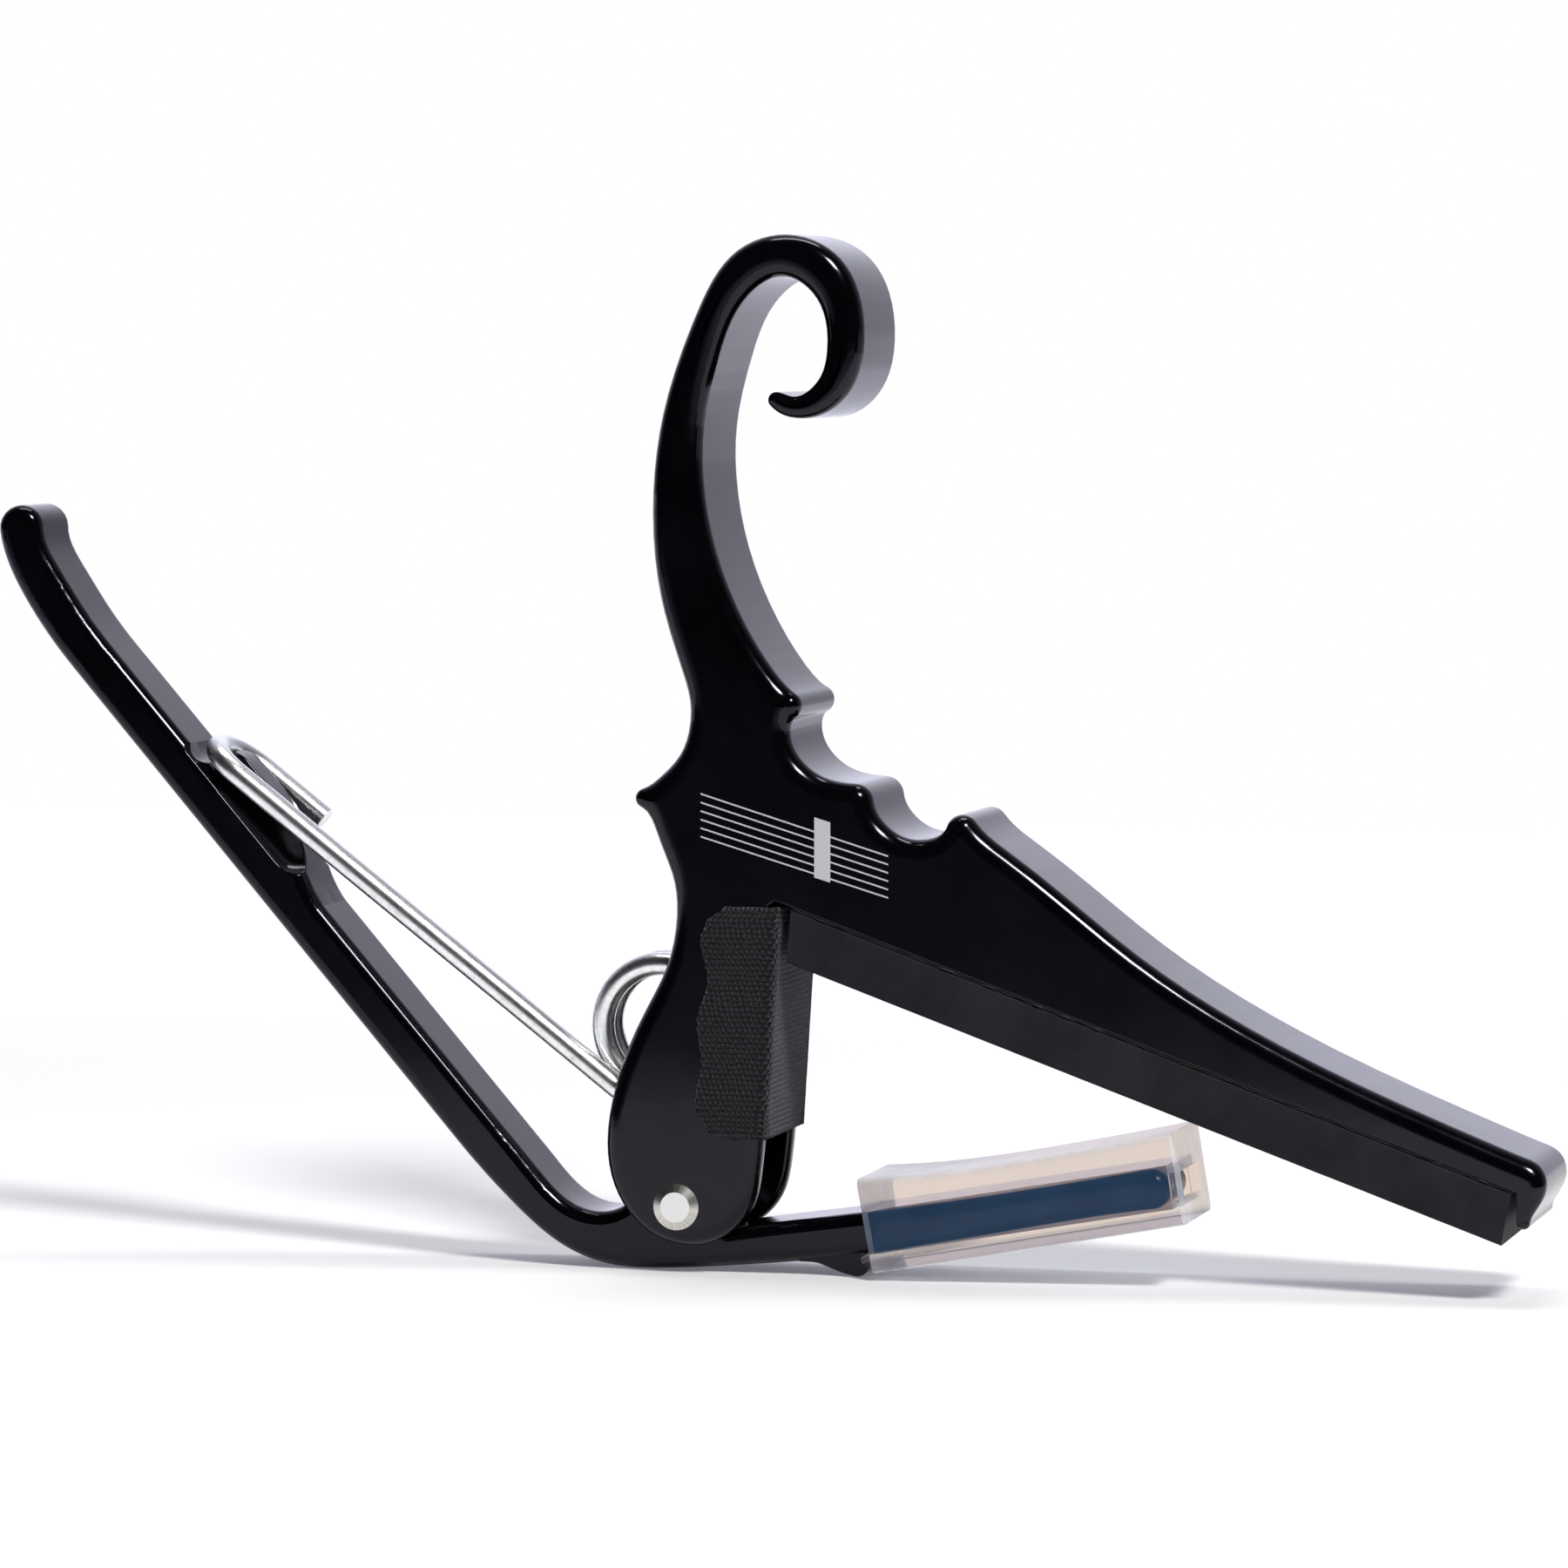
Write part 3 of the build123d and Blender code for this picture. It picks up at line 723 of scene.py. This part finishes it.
def strip(name, made_material, depth_top, depth_low, half, corner, slants, uneven):
    """Bar of soft material under the body's bar, with rounded long edges and a slightly uneven skin."""
    ring = []
    for cx, cz, first in ((-1, -1, 180), (1, -1, 270), (1, 1, 0), (-1, 1, 90)):
        for i in range(CORNER_STEPS + 1):
            a = math.radians(first + 90 * i / CORNER_STEPS)
            ring.append((cx * (half - corner) + corner * math.cos(a), cz, corner * math.sin(a)))
    middle, tall = (depth_top + depth_low) / 2, (depth_low - depth_top) / 2
    bm = bmesh.new()
    rings = []
    for step in range(STRIP_STEPS + 1):
        share = step / STRIP_STEPS
        verts = []
        for y, cz, dz in ring:
            depth = middle + cz * (tall - corner) + dz
            deep = (depth - depth_top) / (depth_low - depth_top)
            begin, end = PAD_START + slants[0] * deep, PAD_END + slants[1] * deep
            p = below_bar(begin + (end - begin) * share, depth, y)
            shove = noise.noise(p * UNEVEN_SCALE) * uneven
            verts.append(bm.verts.new(p + Vector((0, math.copysign(1, y), 0)) * shove * MM))
        rings.append(verts)
    n = len(ring)
    for a, b in zip(rings, rings[1:]):
        for k in range(n):
            bm.faces.new((a[k], a[(k + 1) % n], b[(k + 1) % n], b[k]))
    bm.faces.new(rings[0])
    bm.faces.new(rings[-1])
    bmesh.ops.recalc_face_normals(bm, faces=bm.faces)
    piece = new_piece(name, bm, made_material, "body")
    sharpen(piece, degrees=50)
    return piece


pad = strip("string_rubber", RUBBER, GLUE_T, PAD_T, PAD_HALF,
            PAD_CORNER, PAD_SLANTS, PAD_UNEVEN)
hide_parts("string_pad")
glue = strip("glue_line", GLUE, 0.0, GLUE_T, PAD_HALF - GLUE_INSET,
             GLUE_CORNER, GLUE_SLANTS, GLUE_UNEVEN)
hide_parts("pad_adhesive")

# ---------------------------------------------------------------- vinyl boot keeps its CAD shape
set_material("neck_sleeve", VINYL)

# ---------------------------------------------------------------- woven guard tape, in millimetres
CLOTH_LOW, CLOTH_TOP, CLOTH_T = 5.1, 22.0, 0.35
CLOTH_GAP, CLOTH_CORNER = 0.02, 0.5
CLOTH_COLUMNS, CLOTH_ROWS = 120, 90
# the fork's mouth leans: its wall is at MOUTH_X at MOUTH_Z, and MOUTH_RUN further out MOUTH_RISE higher
MOUTH_X, MOUTH_Z, MOUTH_RUN, MOUTH_RISE = 6.4, 5.5, 1.05, 16.97
# the hand-cut free edge: heights, and how far right of the pivot it is there
LEFT_EDGE = (
    (5.1, 3.66), (5.6, 2.5), (7.4, 1.50), (10.6, 2.03), (13.5, 1.70),
    (16.7, 2.49), (19.6, 1.95), (20.8, 2.35), (22.0, 3.7))
BACK_WAVE, BACK_WAVE_TURN = 0.25, 1.3
FRAY, FRAY_SCALE = 0.10, 3.1
DROP, DROP_SCALE = 0.10, 2.3
SLACK, SLACK_SCALE = 0.03, 0.8
FRAY_SIDE, DROP_LAYER = 7.0, 5.0


def smooth_value(pairs, z):
    """Value at height z, eased between the pairs of height and value."""
    for (z0, a), (z1, b) in zip(pairs, pairs[1:]):
        if z <= z1:
            t = (z - z0) / (z1 - z0)
            return a + (b - a) * t * t * (3 - 2 * t)
    return pairs[-1][1]


def cloth_point(share, z, lift):
    """Point on the wrap: share 0 and 1 are the free edges of the front and back flaps."""
    half = FACE_HALF + CLOTH_GAP + lift
    edge = MOUTH_X + MOUTH_RUN * (z - MOUTH_Z) / MOUTH_RISE + CLOTH_GAP + lift
    left = smooth_value(LEFT_EDGE, z)
    if share > 0.5:
        left += BACK_WAVE * math.sin(z * BACK_WAVE_TURN)
    corner = CLOTH_CORNER
    flap, turn, spine = edge - corner - left, corner * math.pi / 2, 2 * (half - corner)
    total = 2 * flap + 2 * turn + spine
    run = share * total
    if run < flap:
        return (left + run, -half)
    if run < flap + turn:
        a = (run - flap) / corner
        return (edge - corner + corner * math.sin(a), -half + corner - corner * math.cos(a))
    if run < flap + turn + spine:
        return (edge, -half + corner + run - flap - turn)
    if run < flap + 2 * turn + spine:
        a = (run - flap - turn - spine) / corner
        return (edge - corner + corner * math.cos(a), half - corner + corner * math.sin(a))
    return (edge - corner - (run - flap - 2 * turn - spine), half)


def cloth():
    """The tape's middle surface, with its cut size in millimetres as its UV map."""
    bm = bmesh.new()
    layer = bm.loops.layers.uv.new("cloth")
    height = CLOTH_TOP - CLOTH_LOW
    grid = []
    for r in range(CLOTH_ROWS + 1):
        z = CLOTH_LOW + height * r / CLOTH_ROWS
        line = []
        for c in range(CLOTH_COLUMNS + 1):
            share = c / CLOTH_COLUMNS
            x, y = cloth_point(share, z, CLOTH_T / 2)
            slack = SLACK * noise.noise(Vector((x, y, z)) * SLACK_SCALE)
            side = -1 if share < 0.5 else 1
            pull, drop = 0.0, 0.0
            if c in (0, CLOTH_COLUMNS):
                pull = FRAY * noise.noise(Vector((z * FRAY_SCALE, FRAY_SIDE * (share > 0.5), 0.0)))
            if r == 0:
                drop = DROP * noise.noise(Vector((x * DROP_SCALE, y * DROP_SCALE, DROP_LAYER)))
            line.append(bm.verts.new(at(x + pull, y + side * slack, z + drop)))
        grid.append(line)
    for r in range(CLOTH_ROWS):
        for c in range(CLOTH_COLUMNS):
            corners = ((c, r), (c + 1, r), (c + 1, r + 1), (c, r + 1))
            face = bm.faces.new([grid[row][column] for column, row in corners])
            for loop, (column, row) in zip(face.loops, corners):
                loop[layer].uv = (CLOTH_WIDTH * column / CLOTH_COLUMNS, height * row / CLOTH_ROWS)
    bmesh.ops.recalc_face_normals(bm, faces=bm.faces)
    return bm


guard = new_piece("guard_tape", cloth(), WEAVE, None)
thick = guard.modifiers.new("thickness", "SOLIDIFY")
thick.thickness = CLOTH_T * MM
thick.offset = 0.0
keep_modified(guard)
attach(guard, "body")
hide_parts("fork_cloth")

# ---------------------------------------------------------------- printed strings and bar, in millimetres
STRINGS, STRING_THICK = 6, 0.12
STRINGS_LEFT_X, STRINGS_RIGHT_X = 1.9, 15.9
TOP_LEFT_Z, TOP_RIGHT_Z = 30.2, 25.95
LEFT_PITCH, RIGHT_PITCH = 0.62, 0.6
STRINGS_Y, BAR_Y = -5.565, -5.567
BAR_CORNERS = ((10.4, 28.6), (11.6, 28.25), (11.6, 23.9), (10.4, 24.25))


def ink_quad(bm, corners, y):
    bm.faces.new([bm.verts.new(at(x, y, z)) for x, z in corners])


bm = bmesh.new()
for i in range(STRINGS):
    left, right = TOP_LEFT_Z - LEFT_PITCH * i, TOP_RIGHT_Z - RIGHT_PITCH * i
    string_corners = (
        (STRINGS_LEFT_X, left), (STRINGS_RIGHT_X, right),
        (STRINGS_RIGHT_X, right - STRING_THICK), (STRINGS_LEFT_X, left - STRING_THICK))
    ink_quad(bm, string_corners, STRINGS_Y)
ink_quad(bm, BAR_CORNERS, BAR_Y)
new_piece("string_mark", bm, INK, "body")

# ---------------------------------------------------------------- floor
FLOOR_HALF_WIDTH, FLOOR_FRONT, FLOOR_BACK, FLOOR_GAP = 0.35, -0.13, 0.45, 0.00005
SHADOW_SHARE, FRONT_EDGE = 0.86, -0.10
GLOW_LEVEL = 1.03

bm = bmesh.new()
bmesh.ops.create_grid(bm, x_segments=1, y_segments=1, size=1.0)
for v in bm.verts:
    v.co.x *= FLOOR_HALF_WIDTH
    v.co.y = FLOOR_FRONT if v.co.y < 0 else FLOOR_BACK
floor_mesh = bpy.data.meshes.new("floor")
bm.to_mesh(floor_mesh)
bm.free()
floor = bpy.data.objects.new("floor", floor_mesh)
bpy.context.scene.collection.objects.link(floor)
floor.location.z = CAD_LOW.z - FLOOR_GAP
# it takes shadows near the capo and along its front edge, and fades into an even glow further back
floor_material, tree, shader, place = material("floor", Roughness=0.9, Base_Color=(0.97, 0.97, 0.935, 1))
middle = tree.nodes.new("ShaderNodeMapping")
put(tree, middle.inputs["Vector"], place)
middle.inputs["Location"].default_value = (0.0, -0.2, 0.0)
middle.inputs["Scale"].default_value = (3.5, 6.0, 1.0)
near = add(tree, "ShaderNodeTexGradient", gradient_type="SPHERICAL", Vector=middle.outputs[0])
glow = tree.nodes.new("ShaderNodeEmission")
glow.inputs["Color"].default_value = (1.0, 1.0, 1.17, 1)
glow.inputs["Strength"].default_value = GLOW_LEVEL
near_share = ramp(tree, near.outputs["Fac"], (0.0, 0.0), (0.5, SHADOW_SHARE))
front_share = math_node(tree, "LESS_THAN", axes(tree, place)["Y"], FRONT_EDGE)
blend = tree.nodes.new("ShaderNodeMixShader")
put(tree, blend.inputs[0], larger(tree, near_share, front_share))
tree.links.new(glow.outputs[0], blend.inputs[1])
tree.links.new(shader.outputs[0], blend.inputs[2])
tree.links.new(blend.outputs[0], tree.nodes["Material Output"].inputs["Surface"])
floor_mesh.materials.append(floor_material)

# ---------------------------------------------------------------- lights
AIM = (0, 0, 0.03)


def softbox(name, where, width, height, radiance):
    """Rectangular light with a radiance: an area light of that power has it all over its face."""
    data = bpy.data.lights.new(name, "AREA")
    data.shape = "RECTANGLE"
    data.size, data.size_y = width, height
    data.energy = radiance * math.pi * width * height
    made = bpy.data.objects.new(name, data)
    made.location = where
    made.rotation_euler = (Vector(AIM) - Vector(where)).to_track_quat("-Z", "Y").to_euler()
    bpy.context.scene.collection.objects.link(made)


softbox("key", (0.422, -0.455, 0.68), width=0.19, height=0.19, radiance=66.0)
softbox("overhead", (-0.05, 0.10, 0.75), width=0.50, height=0.12, radiance=10.0)

# ---------------------------------------------------------------- world
# Directions run from 0 behind the camera to 1 behind the capo. The wall there is bright, more so to the left.
# Below the horizon the pale table goes on, and dims to the right. The camera itself sees plain white.
WALL_LEVEL, WALL_SLOPE, WALL_LEAST, WALL_MOST = 1.03, 1.6, 0.5, 1.15
TABLE_START, TABLE_SLOPE, TABLE_LEAST = 0.13, 2.2, 0.5
LEAST_AHEAD, BACK_FROM, FRONT_TO = 0.1, 0.45, 0.25

world = bpy.data.worlds.new("studio")
bpy.context.scene.world = world
world.use_nodes = True
tree = world.node_tree
background = tree.nodes["Background"]
way = axes(tree, tree.nodes.new("ShaderNodeTexCoord").outputs["Generated"])
behind = times(tree, plus(tree, way["Y"], 1.0), 0.5)
screen = ramp(tree, behind, (0.30, 0.01), (0.50, 0.05), (0.78, 0.6), (0.92, 1.0))
wall = larger(tree, minus(tree, WALL_LEVEL, times(tree, way["X"], WALL_SLOPE)), WALL_LEAST)
wall = times(tree, math_node(tree, "MINIMUM", wall, WALL_MOST), screen)
aside = math_node(tree, "DIVIDE", way["X"], larger(tree, way["Y"], LEAST_AHEAD))
aside = larger(tree, minus(tree, aside, TABLE_START), 0.0)
table = larger(tree, minus(tree, WALL_LEVEL, times(tree, aside, TABLE_SLOPE)), TABLE_LEAST)
table = times(tree, table, math_node(tree, "GREATER_THAN", behind, BACK_FROM))
table = times(tree, table, math_node(tree, "LESS_THAN", way["Z"], 0.0))
down = times(tree, way["Z"], -1.0)
front = ramp(tree, down, (0.0, 0.0), (0.057, 0.01), (0.077, 0.08), (0.12, 0.27), (0.3, 0.5))
front = times(tree, front, math_node(tree, "LESS_THAN", behind, FRONT_TO))
tinted = add(tree, "ShaderNodeVectorMath", operation="MULTIPLY")
put(tree, tinted.inputs[0], larger(tree, larger(tree, wall, table), front))
tinted.inputs[1].default_value = (1.0, 1.0, 1.18)
pale = add(tree, "ShaderNodeMix", data_type="RGBA")
put(tree, pale.inputs[0], tree.nodes.new("ShaderNodeLightPath").outputs["Is Camera Ray"])
put(tree, pale.inputs[6], tinted.outputs[0])
pale.inputs[7].default_value = (1.0, 1.0, 1.0, 1.0)
put(tree, background.inputs["Color"], pale.outputs[2])
background.inputs["Strength"].default_value = 1.0
